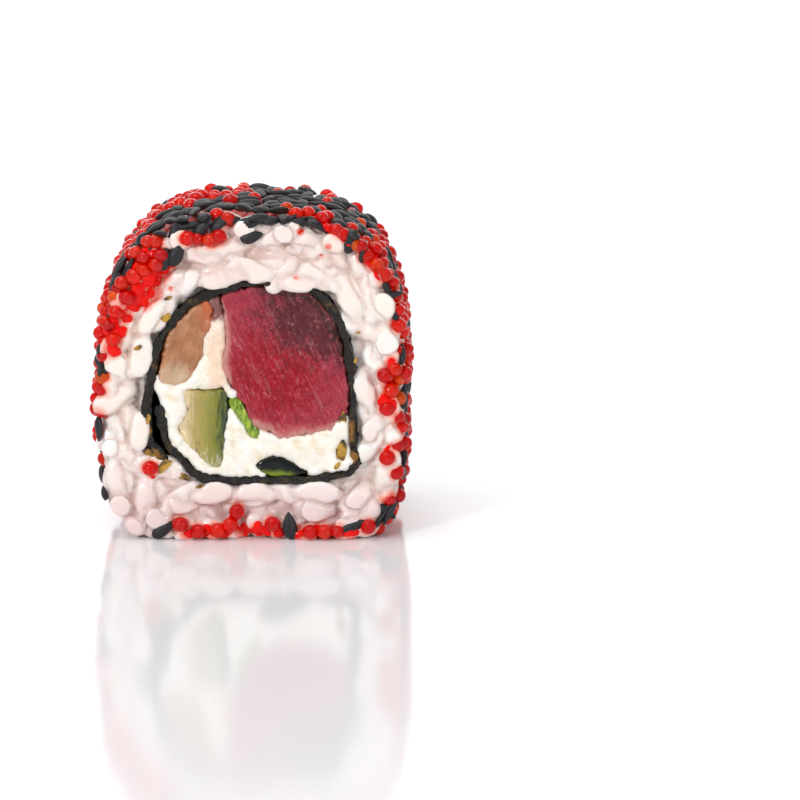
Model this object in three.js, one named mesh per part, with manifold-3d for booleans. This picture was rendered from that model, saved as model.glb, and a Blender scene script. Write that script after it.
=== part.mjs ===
import * as THREE from "three";
import { mergeVertices } from "three/addons/utils/BufferGeometryUtils.js";
import Module from "manifold-3d";

// One knife-cut piece of an inside-out sushi roll. Rice wraps a sheet of seaweed, which wraps raw tuna,
// soft cheese, cucumber and a slice of pale fish, and fish roe and black sesame are pressed onto the rice.
// It stands on its rice with one cut to the front. Millimetres: X to the right, Y from the front cut to the
// back cut, Z up from the surface it rests on.

// The roll from outside, without what is pressed onto it
const ROLL_LENGTH = 25;
const ROLL_WIDTH = 36.8;
const ROLL_HEIGHT = 40.2;
const BELLY_HEIGHT = 17.4;
const TOP_ROUNDNESS = 2.9;
const BASE_SQUARENESS = 4.6;
const BASE_PRESSED = 0.9;
const TOP_LEAN = 0.5;
const BACK_DROP = 0.012;
const END_ROUND = 2.5;
const END_SHRINK = 0.035;
const HALF_LENGTH = ROLL_LENGTH / 2;

// The filling turns and drifts a little on its way from the front cut to the back cut
const CORE_CENTRE = new THREE.Vector2(0.3, 19.6);
const CORE_TWIST = THREE.MathUtils.degToRad(5);
const CORE_DRIFT = new THREE.Vector2(0.5, -0.4);
const CUT_RECESS = 0.35;
const CLEARANCE = 0.3;

// Seaweed: the middle line of the sheet, from its inner edge round to the tail that overlaps it
const SHEET_THICKNESS = 0.7;
const SHEET_RECESS = 0.1;
const SHEET_LINE = [
  [-11.3, 16.6], [-10.4, 12.4], [-8.3, 9.8], [-5.8, 7.8], [1, 7.4], [8, 7.7], [12.6, 8.7], [12.4, 14],
  [12.3, 21], [11, 27], [8, 31], [3, 32.1], [-3, 31.4], [-8, 29], [-11, 25], [-12.3, 20], [-12.8, 15.5],
  [-12.1, 11.8], [-9.7, 9.2],
];
const SHEET_START_HEIGHT = 9;
const INNER_EDGE_HEIGHT = 18;

// Fillings, as outlines on the front cut, anticlockwise
const TUNA = [
  [-3.6, 30.6], [-2.9, 26], [-3.3, 21.8], [-1.6, 18], [0.2, 15], [2.2, 13.3], [5, 13], [8.8, 13.7],
  [11.2, 15.4], [13.5, 17.2], [13.5, 28], [8, 33.5], [-3, 33],
];
const PALE_FISH = [
  [-6.4, 30.4], [-9, 28], [-10.4, 24.5], [-10.9, 19.8], [-8.4, 19.7], [-6.6, 21.6], [-5.5, 25.5],
  [-4.5, 29],
];
const CUCUMBER = [
  [-8.3, 18.5], [-7.7, 15.6], [-8.9, 14.4], [-8.6, 12.9], [-6.4, 11], [-5.2, 9.3], [-3.9, 9.2], [-3.3, 12.5],
  [-2.9, 16], [-3.1, 18.9], [-5.6, 18.7],
];
const GREEN_PEEL = [
  [-2.7, 17.3], [-1.4, 15.2], [0, 12.9], [0.7, 12.6], [0.9, 13.2], [-0.4, 15.6], [-1.8, 17.9], [-2.4, 17.9],
];
const DARK_PEEL = [
  [0.6, 9.3], [2.2, 8.2], [4.6, 8], [7.2, 8.5], [5.2, 9.3], [3.6, 10.2], [2, 10.2],
];

// Rice grains on the two cuts, in courses from the seaweed outwards
const GRAIN = { long: 3.1, wide: 1.5, thick: 1.4, sides: 6, rings: 3 };
const GRAIN_COURSES = [
  { share: 0.17, count: 10 },
  { share: 0.5, count: 11 },
  { share: 0.84, count: 12 },
];
const GRAIN_SCATTER = 0.2;
const GRAIN_SKEW = 0.75;
const GRAIN_TILT = 0.3;
const GRAIN_SUNK = [0.9, 1.5];
const GRAIN_FLOOR = 2.5;
const CORE_FACE_SUNK = 1;

// Bare grains low on the two sides
const SIDE_GRAINS = { count: 8, left: [0.54, 0.62], right: [0.9, 0.98], inset: 1.5, sunk: 0.75, skew: 1.2 };

// Roe and black sesame, by stretches of the outline: 0 is at the right, 0.25 the top and 0.5 the left
const ROE_RADIUS = [0.95, 1.18];
const ROE_PROUD = 0.5;
const SEED = { long: 1.65, wide: 0.98, thick: 0.55, sides: 5, rings: 3 };
const SEED_PROUD = 0.28;
const SEED_LEAN = 0.25;
const SEED_TAPER = 0.25;
const STRETCHES = [
  { from: -0.1, to: 0.1, seeds: 7, roe: 17 },
  { from: 0.1, to: 0.17, seeds: 6, roe: 6 },
  { from: 0.17, to: 0.34, seeds: 26, roe: 10 },
  { from: 0.34, to: 0.4, seeds: 6, roe: 6 },
  { from: 0.4, to: 0.53, seeds: 5, roe: 16 },
  { from: 0.53, to: 0.62, seeds: 3, roe: 5 },
];
const END_MARGIN = 0.4;
const CANDIDATES = 9;

// Roe and sesame that spill over the rim onto both cuts, by stretches of the outline
const SPILLS = [
  { from: 0.365, to: 0.45, reach: 3, roe: 8, seeds: 2 },
  { from: 0.12, to: 0.19, reach: 1.6, roe: 4, seeds: 2 },
  { from: -0.09, to: 0.05, reach: 1.4, roe: 5, seeds: 0 },
];
const SPILL_SUNK = 0.5;

// Roe and sesame along the foot of each cut, from one side to the other: s is a seed, r is a roe
const FOOT = { first: -13.5, step: 3.8, kinds: "srrsrrsr", height: [1.5, 2.3], sunk: 0.6 };

const OUTLINE_STEPS = 48;
const SHEET_STEPS = 48;
const FILLING_STEPS = 22;
const LENGTHWISE_STEPS = 3;
const PAST_THE_CUTS = 8;
const MERGE_DISTANCE = 1e-4;
const RANDOM_SEED = 11;

const wasm = await Module();
wasm.setup();
THREE.MathUtils.seededRandom(RANDOM_SEED);
const between = (low, high) => low + (high - low) * THREE.MathUtils.seededRandom();

// A closed line through a few points of the cut, with evenly spaced steps
function closedLine(points, steps) {
  const curve = new THREE.CatmullRomCurve3(
    points.map(([x, z]) => new THREE.Vector3(x, z, 0)), true, "centripetal",
  );
  return curve.getSpacedPoints(steps).slice(0, steps).map((p) => new THREE.Vector2(p.x, p.y));
}

// A line moved sideways, outwards where it runs anticlockwise
function movedOut(line, distance, closed) {
  const last = line.length - 1;
  return line.map((point, i) => {
    const before = line[i > 0 ? i - 1 : closed ? last : 0];
    const after = line[i < last ? i + 1 : closed ? 0 : last];
    const along = after.clone().sub(before).normalize();
    return new THREE.Vector2(point.x + along.y * distance, point.y - along.x * distance);
  });
}

// The rice's outline on the front cut: a round top that leans over a nearly square foot
function riceOutline() {
  const points = Array.from({ length: 2 * OUTLINE_STEPS }, (_, i) => {
    const turn = (Math.PI * i) / OUTLINE_STEPS;
    const across = Math.cos(turn);
    const rising = Math.sin(turn);
    const power = 2 / (rising >= 0 ? TOP_ROUNDNESS : BASE_SQUARENESS);
    const rise = rising >= 0 ? ROLL_HEIGHT - BELLY_HEIGHT : BELLY_HEIGHT + BASE_PRESSED;
    const up = Math.sign(rising) * Math.abs(rising) ** power;
    const x = (ROLL_WIDTH / 2) * Math.sign(across) * Math.abs(across) ** power;
    return [x + TOP_LEAN * Math.max(0, up), BELLY_HEIGHT + rise * up];
  });
  return closedLine(points, OUTLINE_STEPS);
}

// The roll sags towards its back cut
function sagged(point) {
  point.z *= 1 - BACK_DROP * (point.y / ROLL_LENGTH + 0.5);
  return point;
}

// The rice also draws in at both cuts
function riceSettled(point) {
  const end = Math.max(0, Math.abs(point.y) - HALF_LENGTH + END_ROUND) / END_ROUND;
  const drawn = 1 - END_SHRINK * Math.min(1, end) ** 2;
  point.x *= drawn;
  point.z = BELLY_HEIGHT + (point.z - BELLY_HEIGHT) * drawn;
  return sagged(point);
}

// The filling turns and drifts towards the back cut
function coreSettled(point) {
  const back = point.y / ROLL_LENGTH + 0.5;
  const section = new THREE.Vector2(point.x, point.z)
    .rotateAround(CORE_CENTRE, CORE_TWIST * back)
    .addScaledVector(CORE_DRIFT, back);
  point.x = section.x;
  point.z = section.y;
  return sagged(point);
}

// A solid with the same outline all the way along the roll, then settled
function prism(outline, length, settled) {
  const geometry = new THREE.ExtrudeGeometry(new THREE.Shape(outline), {
    depth: length,
    steps: LENGTHWISE_STEPS,
    bevelEnabled: false,
  });
  geometry.rotateX(Math.PI / 2);
  geometry.translate(0, length / 2, 0);
  const position = geometry.getAttribute("position");
  const point = new THREE.Vector3();
  for (let i = 0; i < position.count; i++) {
    settled(point.fromBufferAttribute(position, i));
    position.setXYZ(i, point.x, point.y, point.z);
  }
  return solidOf(geometry);
}

function solidOf(geometry) {
  const bare = geometry.clone();
  bare.deleteAttribute("normal");
  bare.deleteAttribute("uv");
  const merged = mergeVertices(bare, MERGE_DISTANCE);
  const mesh = new wasm.Mesh({
    numProp: 3,
    vertProperties: new Float32Array(merged.attributes.position.array),
    triVerts: new Uint32Array(merged.index.array),
  });
  return new wasm.Manifold(mesh);
}

// The largest body of a solid, without the scraps that a cut leaves
function largest(solid) {
  return solid.decompose().reduce((best, body) => (body.volume() > best.volume() ? body : best));
}

function meshOf(name, solid, material) {
  const { vertProperties, triVerts } = solid.getMesh();
  const geometry = new THREE.BufferGeometry();
  geometry.setAttribute("position", new THREE.BufferAttribute(vertProperties, 3));
  geometry.setIndex(new THREE.BufferAttribute(triVerts, 1));
  const mesh = new THREE.Mesh(geometry, material);
  mesh.name = name;
  return mesh;
}

// A small lozenge of a thing, long along `along`, with its flat side facing `out`
function placedBlob(blob, centre, along, out, taper = 0) {
  const geometry = new THREE.SphereGeometry(1, blob.sides, blob.rings);
  const position = geometry.getAttribute("position");
  for (let i = 0; i < position.count; i++) {
    const drawn = 1 - taper * position.getY(i);
    position.setXYZ(
      i,
      position.getX(i) * blob.wide * drawn,
      position.getY(i) * blob.long,
      position.getZ(i) * blob.thick * drawn,
    );
  }
  const facing = out.clone().normalize();
  const side = new THREE.Vector3().crossVectors(along, facing).normalize();
  const length = new THREE.Vector3().crossVectors(facing, side);
  geometry.applyMatrix4(new THREE.Matrix4().makeBasis(side, length, facing).setPosition(centre));
  return solidOf(geometry);
}

const outline = riceOutline();

// The place on the rice's side at a share of its outline, with its outward and along directions
function onSide(share, y) {
  const turn = (((share % 1) + 1) % 1) * outline.length;
  const i = Math.floor(turn) % outline.length;
  const next = outline[(i + 1) % outline.length];
  const here = outline[i].clone().lerp(next, turn - Math.floor(turn));
  const step = next.clone().sub(outline[i]).normalize();
  const place = riceSettled(new THREE.Vector3(here.x, y, here.y));
  return {
    place,
    out: new THREE.Vector3(step.y, 0, -step.x),
    around: new THREE.Vector3(step.x, 0, step.y),
  };
}

function roeAt(place, out) {
  const ball = new THREE.IcosahedronGeometry(between(...ROE_RADIUS), 0);
  ball.rotateY(between(0, Math.PI));
  const centre = place.clone().addScaledVector(out, ROE_PROUD);
  ball.translate(centre.x, centre.y, centre.z);
  return solidOf(ball);
}

function seedAt(place, out, around) {
  const along = around.clone().applyAxisAngle(out, between(0, Math.PI));
  const leaning = out.clone().addScaledVector(along, between(-SEED_LEAN, SEED_LEAN));
  const centre = place.clone().addScaledVector(out, SEED_PROUD);
  return placedBlob(SEED, centre, along, leaning, SEED_TAPER);
}

// Places spread evenly over a stretch: each is the one of several candidates with most room round it
function spread(stretch, count, taken) {
  const perimeter = outline.reduce((sum, p, i) => sum + p.distanceTo(outline[(i + 1) % outline.length]), 0);
  const found = [];
  for (let n = 0; n < count; n++) {
    let best = null;
    for (let c = 0; c < CANDIDATES; c++) {
      const spot = {
        share: between(stretch.from, stretch.to),
        y: between(END_MARGIN - HALF_LENGTH, HALF_LENGTH - END_MARGIN),
      };
      const room = Math.min(
        ...taken.map((t) => Math.hypot((t.share - spot.share) * perimeter, t.y - spot.y)), Infinity,
      );
      if (!best || room > best.room) best = { ...spot, room };
    }
    taken.push(best);
    found.push(best);
  }
  return found;
}

// Roe and sesame round the side of the roll
function toppings() {
  const made = [];
  const taken = [];
  for (const stretch of STRETCHES) {
    for (const spot of spread(stretch, stretch.seeds, taken)) {
      const side = onSide(spot.share, spot.y);
      made.push(seedAt(side.place, side.out, side.around));
    }
    for (const spot of spread(stretch, stretch.roe, taken)) {
      const side = onSide(spot.share, spot.y);
      made.push(roeAt(side.place, side.out));
    }
  }
  return made;
}

// Roe and sesame on both cuts, within reach of the rim
function spilledToppings() {
  const made = [];
  for (const facing of [-1, 1]) {
    const out = new THREE.Vector3(0, facing, 0);
    for (const spill of SPILLS) {
      const count = spill.roe + spill.seeds;
      for (let n = 0; n < count; n++) {
        const share = spill.from + ((spill.to - spill.from) * (n + 0.5)) / count;
        const side = onSide(share, facing * (HALF_LENGTH - SPILL_SUNK));
        const place = side.place.addScaledVector(side.out, -between(0.2, 1) * spill.reach);
        made.push(n < spill.roe ? roeAt(place, out) : seedAt(place, out, side.around));
      }
    }
  }
  return made;
}

// Roe and sesame squeezed out along the foot of both cuts
function footToppings() {
  const made = [];
  for (const facing of [-1, 1]) {
    for (let n = 0; n < FOOT.kinds.length; n++) {
      const x = facing * (FOOT.first + FOOT.step * n);
      const place = new THREE.Vector3(x, facing * (HALF_LENGTH - FOOT.sunk), between(...FOOT.height));
      const out = new THREE.Vector3(0, facing, 0);
      const around = new THREE.Vector3(1, 0, 0);
      made.push(FOOT.kinds[n] === "s" ? seedAt(place, out, around) : roeAt(place, out));
    }
  }
  return made;
}

// How far a closed line lies from the centre of the filling, in one direction
function reach(line, direction) {
  const turnFrom = (p) => Math.atan2(p.y - CORE_CENTRE.y, p.x - CORE_CENTRE.x) - direction;
  const apart = (p) => Math.abs(Math.atan2(Math.sin(turnFrom(p)), Math.cos(turnFrom(p))));
  const nearest = line.reduce((a, b) => (apart(a) < apart(b) ? a : b));
  return nearest.distanceTo(CORE_CENTRE);
}

// Grains that show on both cuts, lying round the seaweed with some askew
function cutGrains(tunnelLine) {
  const made = [];
  for (const facing of [-1, 1]) {
    for (const course of GRAIN_COURSES) {
      for (let n = 0; n < course.count; n++) {
        const direction = (2 * Math.PI * (n + between(-GRAIN_SCATTER, GRAIN_SCATTER))) / course.count;
        const inner = reach(tunnelLine, direction);
        const outer = reach(outline, direction);
        const radius = inner + (outer - inner) * course.share;
        const place = riceSettled(new THREE.Vector3(
          CORE_CENTRE.x + radius * Math.cos(direction),
          facing * (HALF_LENGTH - between(...GRAIN_SUNK)),
          CORE_CENTRE.y + radius * Math.sin(direction),
        ));
        place.z = Math.max(place.z, GRAIN_FLOOR);
        const lie = direction + Math.PI / 2 + between(-GRAIN_SKEW, GRAIN_SKEW);
        const tilt = between(-GRAIN_TILT, GRAIN_TILT);
        const along = new THREE.Vector3(Math.cos(lie), tilt, Math.sin(lie)).normalize();
        made.push(placedBlob(GRAIN, place, along, new THREE.Vector3(0, facing, 0)));
      }
    }
  }
  return made;
}

// Bare grains that show between the toppings low on the two sides
function sideGrains() {
  const { count, left, right, inset, sunk, skew } = SIDE_GRAINS;
  return Array.from({ length: count }, (_, n) => {
    const share = between(...(n % 2 === 0 ? left : right));
    const side = onSide(share, inset - HALF_LENGTH + ((ROLL_LENGTH - 2 * inset) * n) / (count - 1));
    const along = side.around.clone().applyAxisAngle(side.out, between(-skew, skew));
    return placedBlob(GRAIN, side.place.addScaledVector(side.out, -sunk), along, side.out);
  });
}

const sheetLine = new THREE.SplineCurve(SHEET_LINE.map(([x, z]) => new THREE.Vector2(x, z)))
  .getSpacedPoints(SHEET_STEPS);
const halfSheet = SHEET_THICKNESS / 2;
const loopStart = sheetLine.findIndex((p) => p.y < SHEET_START_HEIGHT);
const loopEnd = sheetLine.findIndex((p, i) => i > SHEET_STEPS / 2 && p.y < INNER_EDGE_HEIGHT);
const tunnelLine = movedOut(sheetLine.slice(loopStart), halfSheet + CLEARANCE, false);
const insideLine = movedOut(sheetLine.slice(0, loopEnd), -(halfSheet + CLEARANCE), false);
const fillingLength = ROLL_LENGTH - 2 * CUT_RECESS;

function nori() {
  const outside = movedOut(sheetLine, halfSheet, false);
  const band = [...outside, ...movedOut(sheetLine, -halfSheet, false).reverse()];
  return prism(band, ROLL_LENGTH - 2 * SHEET_RECESS, coreSettled);
}

const inside = prism(insideLine, fillingLength, coreSettled);

// A filling that runs through the roll, kept inside the seaweed and clear of the fillings already there
function filling(points, others = []) {
  const whole = prism(closedLine(points, FILLING_STEPS), fillingLength, coreSettled).intersect(inside);
  return largest(others.reduce((solid, other) => solid.subtract(grown(other)), whole));
}

// The room that a filling and the clearance round it take
function grown(points) {
  const outer = movedOut(closedLine(points, FILLING_STEPS), CLEARANCE, true);
  return prism(outer, ROLL_LENGTH + PAST_THE_CUTS, coreSettled);
}

// Soft cheese fills what the others leave
function cheese() {
  const others = [TUNA, PALE_FISH, CUCUMBER, GREEN_PEEL, DARK_PEEL];
  return largest(others.reduce((solid, other) => solid.subtract(grown(other)), inside));
}

// The rice core with its grains, roe and sesame, cut flat where it rests and hollow round the seaweed
function rice() {
  const core = prism(outline, ROLL_LENGTH - 2 * CORE_FACE_SUNK, riceSettled);
  const onCuts = [...cutGrains(tunnelLine), ...spilledToppings(), ...footToppings()];
  const pieces = [...onCuts, ...sideGrains(), ...toppings()];
  const heap = pieces.reduce((solid, piece) => solid.add(piece), core);
  const tunnel = prism(tunnelLine, ROLL_LENGTH + PAST_THE_CUTS, coreSettled);
  const room = new THREE.BoxGeometry(3 * ROLL_WIDTH, 3 * ROLL_LENGTH, 2 * ROLL_HEIGHT);
  room.translate(0, 0, ROLL_HEIGHT);
  return largest(heap.subtract(tunnel).intersect(solidOf(room)));
}

function finish(color, roughness) {
  return new THREE.MeshStandardMaterial({ color, roughness, metalness: 0, flatShading: true });
}

const roll = new THREE.Group();
roll.name = "uramaki_roll";
roll.add(
  meshOf("rice", rice(), finish(0xf2e6e0, 0.45)),
  meshOf("nori", nori(), finish(0x1d1a12, 0.6)),
  meshOf("tuna", filling(TUNA, [GREEN_PEEL, PALE_FISH]), finish(0x9c2a45, 0.4)),
  meshOf("pale_fish", filling(PALE_FISH), finish(0xd0a98c, 0.4)),
  meshOf("cucumber", filling(CUCUMBER, [GREEN_PEEL]), finish(0x9a9a5c, 0.4)),
  meshOf("green_peel", filling(GREEN_PEEL), finish(0x86a312, 0.35)),
  meshOf("dark_peel", filling(DARK_PEEL), finish(0x14241c, 0.3)),
  meshOf("soft_cheese", cheese(), finish(0xfdfbf0, 0.5)),
);

export default roll;
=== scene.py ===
import math
import random

import bmesh
import bpy
import numpy
from mathutils import Matrix, Vector, noise
from mathutils.bvhtree import BVHTree
from mathutils.kdtree import KDTree


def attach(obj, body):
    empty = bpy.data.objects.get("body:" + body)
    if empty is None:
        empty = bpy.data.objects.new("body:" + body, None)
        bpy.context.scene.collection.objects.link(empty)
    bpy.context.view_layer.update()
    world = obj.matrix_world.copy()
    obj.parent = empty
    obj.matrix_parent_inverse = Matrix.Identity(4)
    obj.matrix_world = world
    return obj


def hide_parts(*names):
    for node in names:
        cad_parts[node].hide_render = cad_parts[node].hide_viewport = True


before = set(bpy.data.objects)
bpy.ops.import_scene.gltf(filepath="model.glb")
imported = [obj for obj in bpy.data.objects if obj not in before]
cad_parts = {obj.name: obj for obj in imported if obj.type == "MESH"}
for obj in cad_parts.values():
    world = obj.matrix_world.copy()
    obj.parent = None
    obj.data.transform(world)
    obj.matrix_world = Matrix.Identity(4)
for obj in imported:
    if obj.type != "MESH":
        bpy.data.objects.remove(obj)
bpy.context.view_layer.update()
MM = 0.001
random.seed(7)


# Seaweed sheet. The real one is pressed and roasted laver, softened by the damp rice round it. It goes once
# round the filling with its tail lapped over the inner edge, and the knife leaves both its edges torn.
SHEET_STEP = 0.28 * MM
SHEET_FACES = 50000
SHEET_CRINKLE = 0.42 * MM
SHEET_SWELL = 0.168 * MM
SHEET_TEAR = 0.5 * MM
TEAR_DEPTH = 1.2 * MM
CUT = 12.5 * MM
THIN_PLACES = [
    (11.6, 13.6, 2.2), (11.9, 10.4, 1.7), (-12.4, 10.6, 1.8), (-9.4, 7.4, 1.4), (-12.9, 14.0, 1.2),
]


def finished(name, shape):
    """A piece from a bmesh, with its faces pointing outwards."""
    bmesh.ops.recalc_face_normals(shape, faces=shape.faces)
    mesh = bpy.data.meshes.new(name)
    shape.to_mesh(mesh)
    shape.free()
    piece = bpy.data.objects.new(name, mesh)
    bpy.context.scene.collection.objects.link(piece)
    return piece


def modified(piece, kind, **settings):
    """The piece with one modifier made part of its mesh."""
    modifier = piece.modifiers.new(kind.lower(), kind)
    for name, value in settings.items():
        setattr(modifier, name, value)
    graph = bpy.context.evaluated_depsgraph_get()
    shaped = bpy.data.meshes.new_from_object(piece.evaluated_get(graph))
    piece.modifiers.clear()
    old = piece.data
    piece.data = shaped
    bpy.data.meshes.remove(old)
    shaped.name = piece.name
    return piece


def even_copy(node, name, step):
    """A closed and evenly meshed copy of a solid of the frame, to be worked further."""
    shape = bmesh.new()
    shape.from_mesh(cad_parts[node].data)
    bmesh.ops.remove_doubles(shape, verts=shape.verts, dist=0.001 * MM)
    return modified(finished(name, shape), "REMESH", mode="VOXEL", voxel_size=step)


def thinned(piece, faces):
    """The piece with no more than about so many triangles, kept where its shape needs them."""
    count = sum(len(p.vertices) - 2 for p in piece.data.polygons)
    if count > faces:
        modified(piece, "DECIMATE", ratio=faces / count)
    return piece


def worked(piece, move):
    """The piece with each point moved by what `move` gives for its place and its outward direction."""
    mesh = piece.data
    shifts = [move(v.co, n.vector) for v, n in zip(mesh.vertices, mesh.vertex_normals)]
    for v, shift in zip(mesh.vertices, shifts):
        v.co += shift
    mesh.update()
    mesh.shade_smooth()
    return piece


def rough(place, size, salt=0.0):
    """A smooth random number from -1 to 1 that changes over `size`."""
    return noise.noise(place / size + Vector((salt, salt, salt)))


def above_table(shape):
    """Nothing of the roll dips under the table that it stands on."""
    for v in shape.verts:
        v.co.z = max(v.co.z, 0.03 * MM)


def near_cut(place, depth):
    """1 on both cuts of the roll, and 0 further in than `depth`."""
    return min(1.0, max(0.0, 1 - (CUT - abs(place.y)) / depth))


def seen(red, green, blue):
    """A colour as a display shows it, from 0 to 255, turned into the light that a socket takes."""
    light = [((c / 255 + 0.055) / 1.055) ** 2.4 if c > 10 else c / 255 / 12.92 for c in (red, green, blue)]
    return (*light, 1.0)


class Amount:
    """A number that varies over a surface, so that shader maths reads as sums and products."""

    def __init__(self, paint, socket):
        self.paint = paint
        self.socket = socket

    def by(self, operation, first, second):
        node = self.paint.node("ShaderNodeMath", {"operation": operation}, {0: first, 1: second})
        return Amount(self.paint, node.outputs[0])

    def __add__(self, other):
        return self.by("ADD", self, other)

    def __radd__(self, other):
        return self.by("ADD", other, self)

    def __sub__(self, other):
        return self.by("SUBTRACT", self, other)

    def __rsub__(self, other):
        return self.by("SUBTRACT", other, self)

    def __mul__(self, other):
        return self.by("MULTIPLY", self, other)

    def __rmul__(self, other):
        return self.by("MULTIPLY", other, self)


class Paint:
    """One finish and the nodes that make it."""

    def __init__(self, name, **constants):
        self.material = bpy.data.materials.new(name)
        self.material.use_nodes = True
        self.tree = self.material.node_tree
        self.shader = self.tree.nodes["Principled BSDF"]
        for socket, value in constants.items():
            self.shader.inputs[socket.replace("_", " ")].default_value = value

    def node(self, kind, settings, sockets):
        """Any node: its settings are set first, and then its sockets get values or links."""
        node = self.tree.nodes.new(kind)
        for name, value in settings.items():
            if name == "stops":
                for stop, (at, colour) in zip(self.stops(node, len(value)), value):
                    stop.position = at
                    stop.color = colour
            else:
                setattr(node, name, value)
        for name, value in sockets.items():
            self.feed(node.inputs[name], value)
        return node

    def stops(self, node, count):
        while len(node.color_ramp.elements) < count:
            node.color_ramp.elements.new(1.0)
        return node.color_ramp.elements

    def feed(self, socket, value):
        if isinstance(value, Amount):
            self.tree.links.new(value.socket, socket)
        elif isinstance(value, bpy.types.NodeSocket):
            self.tree.links.new(value, socket)
        else:
            socket.default_value = value

    def set(self, socket, value):
        self.feed(self.shader.inputs[socket], value)

    def grain(self, size, turned=(0, 0, 0), detail=2.0, roughness=0.5, distortion=0.0, shift=0.0):
        """A cloudy pattern from 0 to 1 with spots of about `size`, one length or one for each direction."""
        sizes = size if isinstance(size, tuple) else (size,) * 3
        place = self.node("ShaderNodeTexCoord", {}, {}).outputs["Object"]
        spot = self.node("ShaderNodeMapping", {"vector_type": "TEXTURE"}, {
            "Vector": place, "Location": (shift, shift, shift), "Rotation": turned, "Scale": sizes,
        })
        cloud = self.node("ShaderNodeTexNoise", {}, {
            "Vector": spot.outputs[0], "Scale": 1.0, "Detail": detail, "Roughness": roughness,
            "Distortion": distortion,
        })
        return Amount(self, cloud.outputs[0])

    def near(self, centre, reach):
        """1 at a point of the roll, falling to 0 at `reach` from it, a length or one for each direction."""
        sizes = reach if isinstance(reach, tuple) else (reach,) * 3
        place = self.node("ShaderNodeTexCoord", {}, {}).outputs["Object"]
        spot = self.node("ShaderNodeMapping", {"vector_type": "TEXTURE"},
                         {"Vector": place, "Location": centre, "Scale": sizes})
        ball = self.node("ShaderNodeTexGradient", {"gradient_type": "SPHERICAL"}, {"Vector": spot.outputs[0]})
        return Amount(self, ball.outputs["Fac"])

    def stored(self, attribute):
        """What the mesh stores under a name."""
        node = self.node("ShaderNodeAttribute", {"attribute_name": attribute}, {})
        return Amount(self, node.outputs["Fac"])

    def between(self, amount, low, high):
        """0 below `low`, 1 above `high` and smooth between them."""
        node = self.node("ShaderNodeMapRange", {"interpolation_type": "SMOOTHSTEP"},
                         {"Value": amount, "From Min": low, "From Max": high})
        return Amount(self, node.outputs["Result"])

    def mix(self, share, first, second):
        """`first` where share is 0, and `second` where it is 1."""
        node = self.node("ShaderNodeMix", {"data_type": "RGBA"}, {0: share, 6: first, 7: second})
        return node.outputs[2]

    def ramp(self, amount, *stops):
        return self.node("ShaderNodeValToRGB", {"stops": stops}, {"Fac": amount}).outputs["Color"]

    def relief(self, height, depth, strength=1.0):
        bump = self.node("ShaderNodeBump", {}, {"Height": height, "Distance": depth, "Strength": strength})
        self.set("Normal", bump.outputs["Normal"])

    def on(self, piece):
        piece.data.materials.clear()
        piece.data.materials.append(self.material)
        return piece


def crinkled(place, out):
    """The sheet's fine folds, with its cut edges torn and a little proud of the filling."""
    wave = rough(place, 2.2 * MM) + 0.6 * rough(place, 0.8 * MM, 3.1) + 0.3 * rough(place, 0.4 * MM, 1.7)
    tear = (0.35 + rough(place, 1.1 * MM, 8.3)) * near_cut(place, TEAR_DEPTH) * SHEET_TEAR
    fold = wave * SHEET_CRINKLE + SHEET_SWELL
    return Vector((out.x * fold, math.copysign(tear, place.y), out.z * fold))


sheet = worked(thinned(even_copy("nori", "seaweed_sheet", SHEET_STEP), SHEET_FACES), crinkled)

seaweed_paint = Paint("damp_seaweed", Specular_IOR_Level=0.5)
blotches = seaweed_paint.grain(1.6 * MM, detail=4.0, roughness=0.6)
threads = seaweed_paint.grain((0.25 * MM, 1.4 * MM, 0.25 * MM), detail=3.0)
seaweed_colour = seaweed_paint.ramp(
    blotches,
    (0.38, seen(14, 12, 10)), (0.54, seen(30, 25, 17)), (0.63, seen(74, 58, 26)), (0.72, seen(128, 90, 34)),
)
thin_places = 0.0
for x, z, reach in THIN_PLACES:
    thin_places = seaweed_paint.near((x * MM, -CUT, z * MM), reach * MM) + thin_places
dark_sheet = seaweed_paint.mix(threads * 0.5, seaweed_colour, seen(12, 14, 10))
seaweed_paint.set("Base Color", seaweed_paint.mix(
    seaweed_paint.between(thin_places + blotches - 0.5, 0.25, 0.5) * 0.85, dark_sheet, seen(160, 112, 38),
))
seaweed_paint.set("Roughness", 0.25 + 0.35 * blotches)
seaweed_paint.relief(threads + blotches, 0.5 * MM)
seaweed_paint.on(sheet)
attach(sheet, "root")
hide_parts("nori")


# Rice. Short-grain rice, boiled, dressed and pressed while warm, so that the grains stick into one mass but
# still show where the knife passed between them. It is rolled outside the seaweed and stands pressed flat.
RICE_WIDTH = 36.8 * MM
RICE_HEIGHT = 40.2 * MM
BELLY_HEIGHT = 17.4 * MM
TOP_ROUNDNESS = 2.9
BASE_SQUARENESS = 4.6
BASE_PRESSED = 0.9 * MM
TOP_LEAN = 0.5 * MM
BACK_DROP = 0.012
END_ROUND = 2.5 * MM
END_SHRINK = 0.035
CORE_CENTRE = Vector((0.3, 0, 19.6)) * MM
CORE_SUNK = 1.5 * MM
CORE_SIDE_SUNK = 0.9 * MM
RIM_STEPS = 240
RICE_STEP = 0.25 * MM
RICE_FACES = 190000
KNIFE_PRESS = 0.5 * MM
SEAM = 0.6 * MM
SHEET_ROOM = 1.4 * MM
RIM_ROOM = 0.9 * MM
OVERHANG = 0.45 * MM
TOP_SHARES = (0.14, 0.4)
TOP_SUNK = 0.4 * MM
GRAIN_SIZES = {"long": 3.2 * MM, "wide": 1.7 * MM, "thick": 1.45 * MM}
CUT_GRAINS = [
    {"count": 84, "sunk": 2.0 * MM, "room": 2.6 * MM},
    {"count": 60, "sunk": 1.2 * MM, "room": 3.5 * MM},
]
SIDE_GRAINS = {"count": 300, "sunk": 0.95 * MM}
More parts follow.
